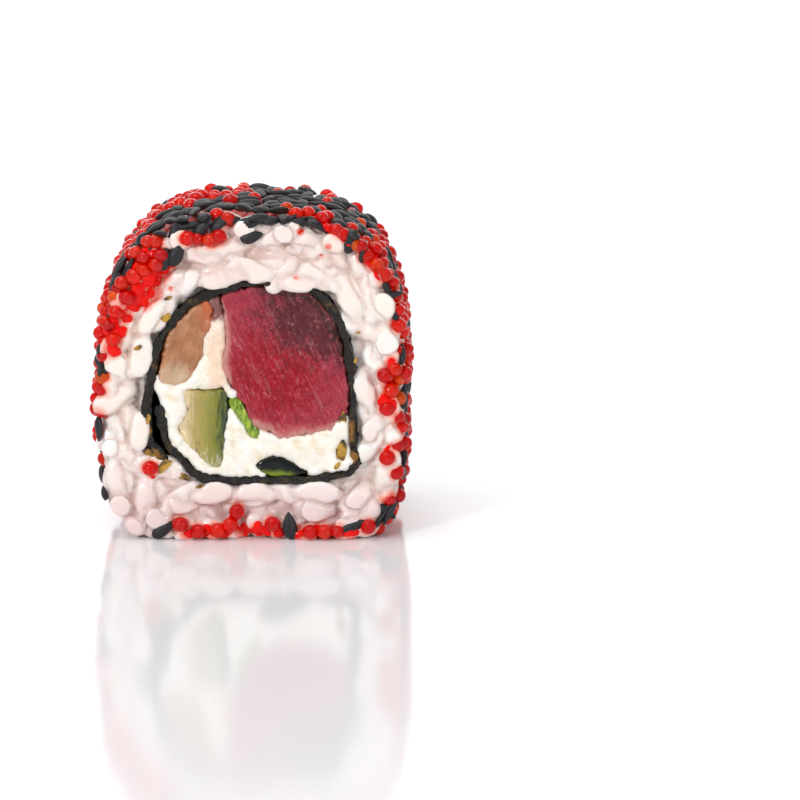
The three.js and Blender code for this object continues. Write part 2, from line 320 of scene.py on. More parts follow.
OVERHANGING = [
    (-3.2, 32.9, 0.3), (0.3, 33.6, -0.3), (3.9, 33.0, 0.9), (5.6, 32.2, -0.1), (8.6, 32.8, -0.5),
    (12.0, 30.4, -1.1), (-12.0, 27.8, 1.0), (-13.3, 23.0, 1.4), (-13.6, 13.6, 1.5), (-4.8, 5.9, 0.1),
    (0.6, 5.8, 0.0), (8.2, 5.9, -0.05), (-8.6, 5.2, 0.7),
]


def settled(place):
    """The roll sags towards its back cut, and the rice draws in at both cuts."""
    end = max(0.0, abs(place.y) - CUT + END_ROUND) / END_ROUND
    drawn = 1 - END_SHRINK * min(1.0, end) ** 2
    height = BELLY_HEIGHT + (place.z - BELLY_HEIGHT) * drawn
    return Vector((place.x * drawn, place.y, height * (1 - BACK_DROP * (place.y / (2 * CUT) + 0.5))))


def rim():
    """Evenly spaced places round the rice's outline, from its right, over the top, to its left and foot."""
    fine = []
    for i in range(16 * RIM_STEPS):
        turn = math.tau * i / (16 * RIM_STEPS)
        across, rising = math.cos(turn), math.sin(turn)
        power = 2 / (TOP_ROUNDNESS if rising >= 0 else BASE_SQUARENESS)
        rise = RICE_HEIGHT - BELLY_HEIGHT if rising >= 0 else BELLY_HEIGHT + BASE_PRESSED
        up = math.copysign(abs(rising) ** power, rising)
        x = RICE_WIDTH / 2 * math.copysign(abs(across) ** power, across) + TOP_LEAN * max(0, up)
        fine.append(Vector((x, 0, BELLY_HEIGHT + rise * up)))
    length = sum((b - a).length for a, b in zip(fine, fine[1:] + fine[:1]))
    even, passed = [fine[0]], 0.0
    for a, b in zip(fine, fine[1:]):
        passed += (b - a).length
        if passed >= length * len(even) / RIM_STEPS:
            even.append(b)
    return even[:RIM_STEPS]


rim_places = rim()
sheet_solid = bmesh.new()
sheet_solid.from_mesh(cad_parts["nori"].data)
sheet_tree = BVHTree.FromBMesh(sheet_solid)
sheet_solid.free()


def on_side(share, y):
    """A place on the rice's side at a share of its outline, with its directions outwards and round the roll."""
    turn = (share % 1.0) * len(rim_places)
    here = rim_places[int(turn) % len(rim_places)]
    after = rim_places[(int(turn) + 1) % len(rim_places)]
    round_it = (after - here).normalized()
    place = here.lerp(after, turn - int(turn))
    return settled(Vector((place.x, y, place.z))), Vector((round_it.z, 0, -round_it.x)), round_it


def towards(direction):
    """The direction at an angle in the plane of the cuts, from the right over the top."""
    return Vector((math.cos(direction), 0, math.sin(direction)))


def sheet_reach(direction, y):
    """How far the outside of the seaweed lies from the middle of the filling."""
    far = CORE_CENTRE + towards(direction) * RICE_WIDTH
    far.y = max(0.8 * MM - CUT, min(CUT - 0.8 * MM, y))
    hit = sheet_tree.ray_cast(far, -towards(direction))[0]
    return (hit - CORE_CENTRE - Vector((0, far.y, 0))).length


rim_turns = [math.atan2(p.z - CORE_CENTRE.z, p.x - CORE_CENTRE.x) for p in rim_places]


def rim_reach(direction):
    """How far the outline of the rice lies from the middle of the filling."""
    apart = [abs(math.remainder(turn - direction, math.tau)) for turn in rim_turns]
    nearest = rim_places[apart.index(min(apart))]
    return (nearest - CORE_CENTRE).length


def rice_core(shape):
    """A plain ring under the grains, set back from the cuts and from the side, hollow round the seaweed."""
    front = CORE_SUNK - CUT
    turns = [math.tau * i / RIM_STEPS for i in range(RIM_STEPS)]
    outer = bmesh.ops.create_circle(shape, segments=RIM_STEPS, radius=RICE_WIDTH / 2)["verts"]
    for v, turn in zip(outer, turns):
        v.co = CORE_CENTRE + towards(turn) * (rim_reach(turn) - CORE_SIDE_SUNK) + Vector((0, front, 0))
    inner = bmesh.ops.extrude_edge_only(shape, edges=shape.edges[:])["geom"]
    for v in (part for part in inner if isinstance(part, bmesh.types.BMVert)):
        turn = math.atan2(v.co.z - CORE_CENTRE.z, v.co.x - CORE_CENTRE.x)
        v.co = CORE_CENTRE + towards(turn) * (sheet_reach(turn, front) + 0.1 * MM) + Vector((0, front, 0))
    drawn_back = bmesh.ops.extrude_face_region(shape, geom=shape.faces[:])["geom"]
    back = [part for part in drawn_back if isinstance(part, bmesh.types.BMVert)]
    for v in back:
        turn = math.atan2(v.co.z - CORE_CENTRE.z, v.co.x - CORE_CENTRE.x)
        reach = (v.co - CORE_CENTRE - Vector((0, front, 0))).length
        if reach < (sheet_reach(turn, front) + rim_reach(turn)) / 2:
            reach = sheet_reach(turn, -front) + 0.1 * MM
        v.co = CORE_CENTRE + towards(turn) * reach + Vector((0, -front, 0))
        v.co.z *= 1 - BACK_DROP / 2


def lying(along, out):
    """The turn that lays a grain or a seed along one direction, with its flat side towards another."""
    side = along.cross(out).normalized()
    facing = side.cross(along).normalized()
    return Matrix((side, facing, along.normalized())).transposed().to_4x4()


def add_grain(shape, centre, along, out, fatness=1.0):
    """One plump grain, a little bent, blunt at its ends and long along `along`."""
    size = random.uniform(0.88, 1.08) * fatness
    grain_axes.append((centre, along.normalized() * GRAIN_SIZES["long"] * size * 0.7, random.random()))
    bend = random.uniform(-0.16, 0.16)
    grain = bmesh.ops.create_icosphere(shape, subdivisions=2, radius=1)["verts"]
    for v in grain:
        v.co.z = math.copysign(abs(v.co.z) ** 0.86, v.co.z)
        v.co.x += bend * v.co.z ** 2
    scale = Matrix.Diagonal((GRAIN_SIZES["wide"], GRAIN_SIZES["thick"], GRAIN_SIZES["long"], 1)) * size
    scale[3][3] = 1
    bmesh.ops.transform(shape, matrix=Matrix.Translation(centre) @ lying(along, out) @ scale, verts=grain)


def spaced(count, room, draw, taken):
    """Places drawn at random, each kept `room` clear of the others where there is space."""
    found = []
    for _ in range(count * 30):
        spot = draw()
        if all((spot["at"] - other).length > room for other in taken):
            taken.append(spot["at"])
            found.append(spot)
            if len(found) == count:
                break
    return found


def cut_spot(facing, sunk):
    """A random place on a cut between the seaweed and the rim."""
    direction = random.uniform(0, math.tau)
    inner = sheet_reach(direction, facing * CUT) + SHEET_ROOM
    outer = rim_reach(direction) * 0.97 - RIM_ROOM
    reach = math.sqrt(random.uniform(inner ** 2, max(inner, outer) ** 2))
    place = CORE_CENTRE + towards(direction) * reach
    place = settled(Vector((place.x, facing * (CUT - sunk), place.z)))
    return {"at": place, "direction": direction}


grain_axes = []
rice_shape = bmesh.new()
rice_core(rice_shape)
for facing in (-1, 1):
    for course in CUT_GRAINS:
        spots = spaced(course["count"], course["room"], lambda: cut_spot(facing, course["sunk"]), [])
        for spot in spots:
            lie = spot["direction"] + math.pi / 2 + random.gauss(0, 0.45)
            lean = random.choice((0, 0, 0, 0, 0, 1)) * random.uniform(0.5, 1.0) + random.uniform(-0.2, 0.2)
            along = (towards(lie) + Vector((0, lean, 0))).normalized()
            lifted = spot["at"] + Vector((0, facing * random.uniform(-0.25, 0.25) * MM, 0))
            add_grain(rice_shape, lifted, along, Vector((0.1, facing, 0.1)))
for n in range(SIDE_GRAINS["count"]):
    share = (n * 0.618034 + random.uniform(-0.01, 0.01)) % 1.0
    y = CUT * (2 * (n + 0.5) / SIDE_GRAINS["count"] - 1) * 0.93
    place, out, round_it = on_side(share, y)
    spin = Matrix.Rotation(random.uniform(0, math.pi), 3, out)
    sunk = SIDE_GRAINS["sunk"] + random.uniform(-0.15, 0.25) * MM
    if TOP_SHARES[0] < share < TOP_SHARES[1]:
        sunk += TOP_SUNK
    add_grain(rice_shape, place - out * sunk, spin @ round_it, out)
for x, z, lie in OVERHANGING:
    add_grain(rice_shape, Vector((x * MM, OVERHANG - CUT, z * MM)), towards(lie), Vector((0, -1, 0)), 0.9)
above_table(rice_shape)

rice = modified(finished("rice_grains", rice_shape), "REMESH", mode="VOXEL", voxel_size=RICE_STEP)
modified(rice, "SMOOTH", factor=0.5, iterations=1)
thinned(rice, RICE_FACES)


axis_points = KDTree(5 * len(grain_axes))
for i, (centre, half, _) in enumerate(grain_axes):
    for n in range(5):
        axis_points.insert(centre + half * (n / 2 - 1), i)
axis_points.balance()


def grain_at(place):
    """The tone of the grain at a place, and how close the place is to the seam with the next grain."""
    nearest, first = None, 0.0
    for _, i, gap in axis_points.find_n(place, 7):
        if nearest is None:
            nearest, first = i, gap
        elif i != nearest:
            return grain_axes[nearest][2], max(0.0, 1 - (gap - first) / SEAM)
    return grain_axes[nearest][2], 0.0


grain_tones, grain_seams = [], []


def knifed(place, out):
    """Small dents, seams drawn in between the grains, and those that stand out of a cut pressed flatter."""
    tone, seam = grain_at(place)
    grain_tones.append(tone)
    grain_seams.append(seam)
    dent = out * (rough(place, 1.3 * MM) * 0.06 + rough(place, 0.5 * MM) * 0.02 - 0.2 * seam ** 2) * MM
    past = abs(place.y) - CUT
    if past > 0:
        dent.y -= math.copysign(past - KNIFE_PRESS * (1 - math.exp(-past / KNIFE_PRESS)), place.y)
    return dent


worked(rice, knifed)
rice.data.attributes.new("grain_tone", "FLOAT", "POINT").data.foreach_set("value", grain_tones)
rice.data.attributes.new("seam", "FLOAT", "POINT").data.foreach_set("value", grain_seams)


def store_hollows(piece, depth, rounds):
    """Stores how far each point lies under its smoothed surroundings, as a share of `depth`."""
    mesh = piece.data
    count = len(mesh.vertices)
    places = numpy.empty(count * 3)
    mesh.vertices.foreach_get("co", places)
    outwards = numpy.empty(count * 3)
    mesh.vertex_normals.foreach_get("vector", outwards)
    places, outwards = places.reshape(-1, 3), outwards.reshape(-1, 3)
    ends = numpy.empty(len(mesh.edges) * 2, dtype=int)
    mesh.edges.foreach_get("vertices", ends)
    one, other = ends.reshape(-1, 2).T
    neighbours = numpy.maximum(numpy.bincount(ends, minlength=count), 1)
    smooth = places.copy()
    for _ in range(rounds):
        for axis in range(3):
            near = numpy.bincount(one, smooth[other, axis], count)
            near += numpy.bincount(other, smooth[one, axis], count)
            smooth[:, axis] = near / neighbours
    under = ((smooth - places) * outwards).sum(axis=1) / depth
    mesh.attributes.new("hollow", "FLOAT", "POINT").data.foreach_set("value", under.clip(0, 1))


store_hollows(rice, 0.3 * MM, 16)
rice_paint = Paint(
    "sticky_rice", Subsurface_Weight=0.5, Subsurface_Radius=(1.0, 0.7, 0.5), Subsurface_Scale=0.55 * MM,
    Coat_Weight=0.4, Coat_Roughness=0.15, IOR=1.42,
)
milky = rice_paint.grain(2.4 * MM)
warm = rice_paint.grain(5.0 * MM, shift=9.0 * MM)
grain_rice = rice_paint.mix(
    rice_paint.between(warm, 0.35, 0.7) * 0.7,
    rice_paint.mix(
        rice_paint.between(rice_paint.stored("grain_tone") + milky * 0.8 - 0.4, 0.1, 0.9),
        seen(246, 232, 226), seen(253, 246, 242),
    ),
    seen(250, 236, 224),
)
# Painted shade: the rice is mixed towards a darker pinkish grey near the bottom of the roll.
low_shade = rice_paint.near((0, 0, 0), (300 * MM, 300 * MM, 11 * MM))
grain_rice = rice_paint.mix(rice_paint.between(low_shade, 0.0, 0.8) * 0.85, grain_rice, seen(232, 209, 208))
high_up = rice_paint.near((0, -CUT, 36 * MM), (20 * MM, 9 * MM, 7 * MM))
grain_rice = rice_paint.mix(rice_paint.between(high_up, 0.0, 0.7) * 0.5, grain_rice, seen(240, 216, 208))
# Painted shade: where grains meet, the rice is darkened to a warm grey along their seams.
seam = rice_paint.stored("seam")
seam_shaded_rice = rice_paint.mix(rice_paint.between(seam, 0.25, 0.95) * 0.3, grain_rice, seen(216, 184, 174))
# Painted shade: points lying in hollows of the surface are darkened to a tan.
hollow_shaded_rice = rice_paint.mix(
    rice_paint.between(rice_paint.stored("hollow"), 0.2, 0.95) * 0.34, seam_shaded_rice, seen(206, 166, 150),
)
stain = rice_paint.stored("stain")
rice_paint.set("Base Color", rice_paint.mix(
    rice_paint.between(stain, 0.55, 0.95),
    rice_paint.mix(rice_paint.between(stain, 0.05, 0.7) * 0.75, hollow_shaded_rice, seen(250, 150, 124)),
    seen(226, 26, 14),
))
rice_paint.set("Roughness", 0.26 + 0.2 * milky)
rice_paint.relief(rice_paint.grain(0.35 * MM, detail=3.0) * 0.15 - seam, 0.24 * MM)
rice_paint.on(rice)
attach(rice, "root")
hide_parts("rice")


# Soft cheese. It is spread from a bag beside the fish and pressed into every gap when the roll is closed, and
# the knife drags its cut face into low smears.
FILLING_STEP = 0.24 * MM
CHEESE_FACES = 60000


def spread_out(place, out):
    """The cheese swelling into its gaps, with drag marks of the knife on its cuts."""
    swell = 0.26 + 0.3 * rough(place, 1.8 * MM, 5.0) + 0.2 * rough(place, 0.6 * MM, 2.0)
    drag = (0.6 * rough(place, 2.6 * MM, 9.0) + 0.45 * rough(place, 1.1 * MM, 4.0)) * near_cut(place, 1 * MM)
    return (out * swell + Vector((0, math.copysign(drag, place.y), 0))) * MM


cheese = even_copy("soft_cheese", "cheese_filling", FILLING_STEP)
modified(cheese, "SMOOTH", factor=0.5, iterations=3)
worked(thinned(cheese, CHEESE_FACES), spread_out)

cheese_paint = Paint(
    "soft_cheese_white", Subsurface_Weight=0.25, Subsurface_Radius=(1.0, 0.85, 0.6), Subsurface_Scale=0.6 * MM,
    Coat_Weight=0.2, Coat_Roughness=0.2,
)
curd = cheese_paint.grain(1.3 * MM, detail=3.0)
smears = cheese_paint.grain((1.8 * MM, 2.0 * MM, 0.9 * MM), (0, 0.5, 0), distortion=0.6)
white_cheese = cheese_paint.ramp(
    curd * 0.5 + smears * 0.5,
    (0.3, seen(238, 222, 192)), (0.46, seen(250, 243, 229)), (0.6, seen(254, 251, 243)),
)
# Painted shade: the cheese beside the tuna is mixed towards a warm pinkish tan.
shade_beside_fish = cheese_paint.near((-4.0 * MM, 0, 22.5 * MM), (2.4 * MM, 60 * MM, 9.0 * MM))
warm_shaded_cheese = cheese_paint.mix(
    cheese_paint.between(shade_beside_fish + curd * 0.8 - 0.4, 0.15, 0.6) * 0.7, white_cheese, seen(244, 206, 176),
)
# Painted shadow: a dark red patch at the top of the cheese, in the gap between the pale fish and the tuna.
dark_gap_shadow = cheese_paint.near((-4.6 * MM, 0, 30.6 * MM), (3.0 * MM, 60 * MM, 4.2 * MM))
cheese_paint.set("Base Color", cheese_paint.mix(
    cheese_paint.between(dark_gap_shadow + curd * 0.5 - 0.25, 0.1, 0.35) * 0.92, warm_shaded_cheese, seen(112, 22, 20),
))
cheese_paint.set("Roughness", 0.34 + 0.25 * curd)
cheese_paint.relief(smears + curd, 0.22 * MM)
cheese_paint.on(cheese)
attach(cheese, "root")
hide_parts("soft_cheese")


# Raw tuna. A thick baton of lean back fish, cut across the roll, with its fibres in close layers and thin
# pale lines of fat between them. Its lower edge frays into the cheese.
TUNA_FACES = 70000
FIBRE_LEAN = math.radians(24)


def store_rim(piece, node, depth):
    """Stores how near each point lies to the long sides of its solid, from 1 on them to 0 at `depth`."""
    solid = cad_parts[node].data
    sides = [p.vertices[:] for p in solid.polygons if abs(p.normal.y) < 0.5]
    tree = BVHTree.FromPolygons([v.co for v in solid.vertices], sides)
    closeness = [max(0.0, 1 - tree.find_nearest(v.co)[3] / depth) for v in piece.data.vertices]
    piece.data.attributes.new("rim", "FLOAT", "POINT").data.foreach_set("value", closeness)


def layered(place, out):
    """Fibres as ridges on the cuts, with a frayed foot."""
    across = place.x * math.cos(FIBRE_LEAN) + place.z * math.sin(FIBRE_LEAN)
    along = place.z * math.cos(FIBRE_LEAN) - place.x * math.sin(FIBRE_LEAN)
    ridges = rough(Vector((across / 0.55, place.y / 3, along / 4)), 1 * MM, 6.0)
    facing = math.copysign(1.0, place.y)
    relief = (0.10 * ridges + 0.28 * rough(place, 3 * MM, 1.0)) * near_cut(place, 0.8 * MM)
    low = min(1.0, max(0.0, (17.5 * MM - place.z) / (3 * MM)))
    tufts = 0.8 * rough(Vector((across, place.y, 0)), 1.9 * MM, 2.0)
    strands = 0.5 * rough(Vector((across, 0, 0)), 0.7 * MM)
    ragged = 0.16 + 0.5 * rough(place, 1.6 * MM, 5.0) + 0.3 * rough(place, 0.55 * MM, 3.0)
    return (out * ragged + Vector((0, facing * relief, (tufts + strands) * low))) * MM


tuna = even_copy("tuna", "tuna_strip", FILLING_STEP)
modified(tuna, "SMOOTH", factor=0.5, iterations=3)
store_rim(thinned(tuna, TUNA_FACES), "tuna", 1.6 * MM)
worked(tuna, layered)

tuna_paint = Paint(
    "raw_tuna", Subsurface_Weight=0.1, Subsurface_Radius=(1.0, 0.2, 0.15), Subsurface_Scale=0.4 * MM,
    Coat_Weight=0.15, Coat_Roughness=0.3, Specular_IOR_Level=0.4,
)
fibre_turn = (0, -FIBRE_LEAN, 0)
fibres = tuna_paint.grain(
    (0.36 * MM, 2.0 * MM, 2.6 * MM), fibre_turn, detail=6.0, roughness=0.75, distortion=0.8,
)
fat_lines = tuna_paint.grain(
    (0.5 * MM, 3.0 * MM, 4.2 * MM), fibre_turn, detail=4.0, distortion=1.6, shift=4 * MM,
)
speckle = tuna_paint.grain(0.4 * MM, detail=5.0, roughness=0.8)
clouds = tuna_paint.grain((1.0 * MM, 3 * MM, 1.9 * MM), fibre_turn, detail=6.0, roughness=0.7, distortion=0.7)
deep = tuna_paint.near((3.2 * MM, 0, 21.0 * MM), (8.5 * MM, 60 * MM, 8.5 * MM))
dark_side = tuna_paint.near((9.5 * MM, 0, 29.0 * MM), (12 * MM, 60 * MM, 9.5 * MM))
low_edge = tuna_paint.near((5.0 * MM, 0, 12.0 * MM), (12 * MM, 60 * MM, 4.6 * MM))
left_edge = tuna_paint.near((-4.2 * MM, 0, 23.0 * MM), (2.6 * MM, 60 * MM, 9.0 * MM))
red = tuna_paint.mix(
    tuna_paint.between(deep + clouds * 1.2 - 0.6, 0.05, 0.6), seen(204, 62, 84), seen(196, 6, 38),
)
red = tuna_paint.mix(tuna_paint.between(fibres, 0.5, 0.36) * 0.5, red, seen(122, 8, 34))
browned = tuna_paint.mix(tuna_paint.between(dark_side + clouds * 1.2 - 0.6, 0.05, 0.55), red, seen(108, 40, 50))
rim = tuna_paint.stored("rim")
darker = tuna_paint.mix(
    tuna_paint.between(rim + clouds * 0.6 - 0.3, 0.25, 0.75) * tuna_paint.between(dark_side, 0.1, 0.4) * 0.9,
    browned, seen(42, 24, 20),
)
soft_edges = low_edge + left_edge
edges = tuna_paint.between(soft_edges + rim * 0.5 + clouds * 1.1 - 0.55, 0.3, 0.95)
pinker = tuna_paint.mix(edges * 0.85, darker, seen(232, 112, 112))
soft_rim = rim * tuna_paint.between(soft_edges, 0.0, 0.25)
feathered = tuna_paint.mix(
    tuna_paint.between(soft_rim + speckle * 0.7 + fibres * 0.7 - 0.7, 0.45, 0.95) * 0.75,
    pinker, seen(244, 188, 172),
)
veined = tuna_paint.mix(
    tuna_paint.between(fibres + speckle * 1.4 - 0.7, 0.52, 0.82) * 0.7, feathered, seen(232, 128, 138),
)
tuna_paint.set("Base Color", tuna_paint.mix(
    tuna_paint.between(fat_lines, 0.6, 0.68) * 0.3, veined, seen(226, 160, 164),
))
tuna_paint.set("Roughness", 0.25 + 0.3 * clouds)
tuna_paint.relief(fibres + speckle + clouds, 0.4 * MM)
tuna_paint.on(tuna)
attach(tuna, "root")
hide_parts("tuna")


# Pale fish. A slice of lightly cured fish laid against the seaweed, tan in its middle and orange where its
# edge is thin.
PALE_FACES = 24000


def sliced(place, out):
    """A soft slice: shallow hollows on its cuts and an uneven edge."""
    relief = 0.25 * rough(place, 2.2 * MM, 3.0) * near_cut(place, 0.8 * MM)
    ragged = 0.2 + 0.5 * rough(place, 1.6 * MM, 5.0) + 0.25 * rough(place, 0.5 * MM, 3.0)
    return (out * ragged + Vector((0, math.copysign(1.0, place.y) * relief, 0))) * MM


pale = even_copy("pale_fish", "pale_fish_strip", FILLING_STEP)
modified(pale, "SMOOTH", factor=0.5, iterations=3)
worked(thinned(pale, PALE_FACES), sliced)

pale_paint = Paint(
    "cured_pale_fish", Subsurface_Weight=0.2, Subsurface_Radius=(1.0, 0.5, 0.3), Subsurface_Scale=0.7 * MM,
    Coat_Weight=0.3, Coat_Roughness=0.2,
)
pale_clouds = pale_paint.grain(
    (1.3 * MM, 3 * MM, 2.4 * MM), (0, 0.35, 0), detail=3.0, distortion=0.4,
)
pale_middle = pale_paint.near((-8.2 * MM, 0, 25.0 * MM), (4.6 * MM, 60 * MM, 7.5 * MM))
pale_flesh = pale_paint.mix(
    pale_paint.between(pale_middle + pale_clouds * 0.6 - 0.3, 0.0, 0.5), seen(202, 98, 44),
    pale_paint.ramp(
        pale_clouds, (0.35, seen(158, 102, 64)), (0.5, seen(172, 114, 74)), (0.64, seen(188, 134, 94)),
    ),
)
pale_foot = pale_paint.near((-9.6 * MM, 0, 18.6 * MM), (5.5 * MM, 60 * MM, 5.0 * MM))
pale_paint.set("Base Color", pale_paint.mix(
    pale_paint.between(pale_foot + pale_clouds * 0.4 - 0.2, 0.1, 0.6) * 0.8, pale_flesh, seen(206, 184, 152),
))
pale_paint.set("Roughness", 0.28 + 0.25 * pale_clouds)
pale_paint.relief(pale_paint.grain((0.3 * MM, 1.5 * MM, 1.2 * MM), detail=3.0), 0.1 * MM)
pale_paint.on(pale)
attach(pale, "root")
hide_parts("pale_fish")


# Cucumber. A baton cut lengthwise, with watery flesh on one side and green skin on the other. The knife
# leaves its lower end torn into short strings.
CUCUMBER_FACES = 24000


def stringy(place, out):
    """Watery fibres as ridges on the cuts, pulled out into strings at the foot."""
    low = min(1.0, max(0.0, (13.5 * MM - place.z) / (3 * MM)))
    strings = rough(Vector((place.x, place.y / 3, place.z / 6)), 0.45 * MM, 1.0)
    relief = (0.1 * strings + 0.2 * rough(place, 2 * MM, 7.0)) * near_cut(place, 0.8 * MM)
    ragged = 0.12 + 0.35 * rough(place, 1.3 * MM, 5.0) + 0.18 * rough(place, 0.45 * MM, 3.0)
    return (out * ragged + Vector((0, math.copysign(1.0, place.y) * relief, 1.3 * strings * low))) * MM


cucumber = even_copy("cucumber", "cucumber_strip", FILLING_STEP)
modified(cucumber, "SMOOTH", factor=0.5, iterations=2)
worked(thinned(cucumber, CUCUMBER_FACES), stringy)

cucumber_paint = Paint(
    "cut_cucumber", Subsurface_Weight=0.2, Subsurface_Radius=(0.7, 1.0, 0.3), Subsurface_Scale=0.6 * MM,
    Coat_Weight=0.3, Coat_Roughness=0.12,
)
strings = cucumber_paint.grain((0.3 * MM, 3 * MM, 2.2 * MM), detail=4.0, roughness=0.65)
skin_side = cucumber_paint.near((-2.6 * MM, 0, 14.5 * MM), (6.2 * MM, 60 * MM, 24 * MM))
torn_foot = cucumber_paint.near((-4.4 * MM, 0, 7.4 * MM), (6.0 * MM, 60 * MM, 4.4 * MM))
flesh = cucumber_paint.ramp(
    skin_side + strings * 0.5 - 0.25,
    (0.1, seen(224, 202, 160)), (0.26, seen(182, 160, 96)), (0.46, seen(160, 150, 70)),
    (0.64, seen(126, 128, 34)), (0.76, seen(30, 56, 14)),
)
cucumber_paint.set("Base Color", cucumber_paint.mix(
    cucumber_paint.between(torn_foot + strings * 2.0 - 1.0, 0.2, 0.6) * 0.6, flesh, seen(226, 218, 190),
))
cucumber_paint.set("Roughness", 0.2 + 0.25 * strings)
cucumber_paint.relief(strings, 0.12 * MM)
cucumber_paint.on(cucumber)
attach(cucumber, "root")
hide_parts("cucumber")


# Green peel. A thin wet shaving of cucumber skin, bent over where it was laid between the cucumber and the
# tuna. Its inside still has some bright flesh.
GREEN_FACES = 12000


def shaved(place, out):
    """A shaving of uneven thickness."""
    return out * (0.12 + 0.12 * rough(place, 1.2 * MM, 2.0)) * MM


green = even_copy("green_peel", "green_peel_strip", 0.2 * MM)
modified(green, "SMOOTH", factor=0.5, iterations=2)
worked(thinned(green, GREEN_FACES), shaved)

green_paint = Paint("wet_green_peel", Coat_Weight=0.5, Coat_Roughness=0.1)
green_veins = green_paint.grain((0.5 * MM, 3 * MM, 0.9 * MM), detail=3.0)
green_paint.set("Base Color", green_paint.ramp(
    green_veins, (0.35, seen(74, 112, 10)), (0.5, seen(128, 158, 22)), (0.65, seen(176, 194, 62)),
))
green_paint.set("Roughness", 0.2 + 0.2 * green_veins)
green_paint.relief(green_veins, 0.1 * MM)
green_paint.on(green)
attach(green, "root")
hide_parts("green_peel")


# Dark peel. A thicker shaving of cucumber, laid on the seaweed with its waxy skin up. It is nearly black on
# top and lime coloured on its thin underside.
DARK_FACES = 14000


def domed(place, out):
    """The peel swollen a little, and standing proud of the cuts."""
    return (out * 0.22 + Vector((0, math.copysign(0.15 * near_cut(place, 0.8 * MM), place.y), 0))) * MM


dark = even_copy("dark_peel", "dark_peel_strip", 0.2 * MM)
modified(dark, "SMOOTH", factor=0.5, iterations=3)
worked(thinned(dark, DARK_FACES), domed)

dark_paint = Paint("waxy_dark_peel", Coat_Weight=0.12, Coat_Roughness=0.05, Specular_IOR_Level=0.35)
dark_mottle = dark_paint.grain(1.0 * MM, detail=3.0)
underside = dark_paint.near((2.2 * MM, 0, 6.6 * MM), (6.5 * MM, 60 * MM, 2.9 * MM))
skin = dark_paint.ramp(dark_mottle, (0.4, seen(3, 6, 5)), (0.62, seen(8, 18, 11)))
dark_paint.set("Base Color", dark_paint.mix(
    dark_paint.between(underside + dark_mottle * 0.2 - 0.1, 0.12, 0.4), skin, seen(122, 142, 34),
))
dark_paint.set("Roughness", 0.1 + 0.12 * dark_mottle)
dark_paint.relief(dark_mottle, 0.05 * MM)
dark_paint.on(dark)
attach(dark, "root")
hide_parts("dark_peel")


# Flying-fish roe. Wet eggs that are strewn on the mat together with the sesame before the roll is pressed into
# them. They cling in patches, and red juice between them soaks into the rice.
STRETCHES = [
    {"from": 0.27, "to": 0.34, "y": (3.0, 12.2), "eggs": 36, "seeds": 0},
    {"from": -0.12, "to": 0.10, "y": (-12.0, 12.0), "eggs": 112, "seeds": 34},
    {"from": 0.10, "to": 0.17, "y": (-12.0, 12.0), "eggs": 34, "seeds": 34},
    {"from": 0.17, "to": 0.35, "y": (-12.3, 12.0), "eggs": 20, "seeds": 98},
    {"from": 0.35, "to": 0.41, "y": (-12.0, 12.0), "eggs": 44, "seeds": 24},
    {"from": 0.41, "to": 0.53, "y": (-12.0, 12.0), "eggs": 124, "seeds": 24},
    {"from": 0.53, "to": 0.62, "y": (-12.0, 12.0), "eggs": 22, "seeds": 10},
]
EGG_RADIUS = 0.97 * MM
EGG_ROOM = 1.55 * MM
FURTHEST = 13.9 * MM
SEED_ROOM = 1.9 * MM
STAIN_FROM = 0.95 * MM
STAIN_REACH = 0.75 * MM
CUT_EGGS = [
    (-7.5, 37.7), (-6.3, 37.6), (-4.8, 37.5), (-3.7, 37.9), (-11.2, 37.0), (-12.8, 35.2), (-11.4, 34.5),
    (-12.9, 33.8), (-10.8, 35.6), (-14.1, 33.0), (-15.3, 32.0), (-16.7, 31.8), (-16.4, 30.3), (-15.0, 30.4),
    (-16.3, 28.5), (-17.4, 29.6), (-17.2, 26.8), (-16.7, 25.2), (-17.9, 24.6), (-17.8, 23.0), (-18.7, 20.3),
    (-18.6, 18.7), (11.0, 39.3), (11.9, 38.9), (11.4, 38.3), (13.4, 37.4), (15.4, 36.8), (16.6, 35.5),
    (17.5, 34.9), (16.9, 33.4), (18.6, 23.6), (17.5, 21.4), (18.4, 20.1), (16.5, 20.7), (17.2, 18.8),
    (18.4, 17.6), (16.7, 16.6), (17.9, 15.4), (17.9, 11.8), (16.7, 10.4), (17.8, 8.5), (18.2, 3.8),
    (-12.4, 9.1), (-8.8, 2.0), (-6.6, 1.1), (-4.2, 1.2), (-2.6, 1.9), (-1.8, 3.6), (2.6, 2.0), (7.2, 1.0),
    (9.0, 1.0), (10.6, 1.1), (14.3, 1.8),
]
CUT_DROPS = [
    (6.2, 38.5, 0.45), (9.6, 36.7, 0.4), (8.7, 35.4, 0.3), (-9.6, 31.4, 0.3), (-3.4, 30.6, 0.35),
    (5.6, 32.8, 0.3),
]
JUICE = [
    (-12.3, 32.4, 1.6), (-13.4, 31.2, 1.6), (-12.1, 30.8, 1.2), (-12.8, 29.6, 0.9), (-11.0, 33.4, 1.3),
    (-14.6, 29.8, 1.3), (-15.4, 28.2, 1.1), (-15.9, 26.2, 0.9), (-9.8, 34.4, 0.8), (-14.2, 34.0, 1.1),
    (-16.6, 27.4, 1.1), (-16.9, 24.0, 1.1), (16.6, 33.9, 1.0), (17.4, 19.6, 1.3), (16.9, 17.4, 1.2),
    (17.3, 22.3, 0.9), (8.2, 0.9, 1.0), (9.8, 0.9, 0.9), (0.8, 1.2, 1.1), (1.8, 1.0, 0.9), (-3.4, 1.0, 0.9),
    (-12.3, 8.3, 0.6), (-8.0, 0.9, 0.8), (-5.4, 0.8, 0.9), (-1.2, 1.0, 0.9), (3.4, 0.8, 0.8),
    (5.8, 0.8, 0.9), (12.2, 0.9, 0.9),
]


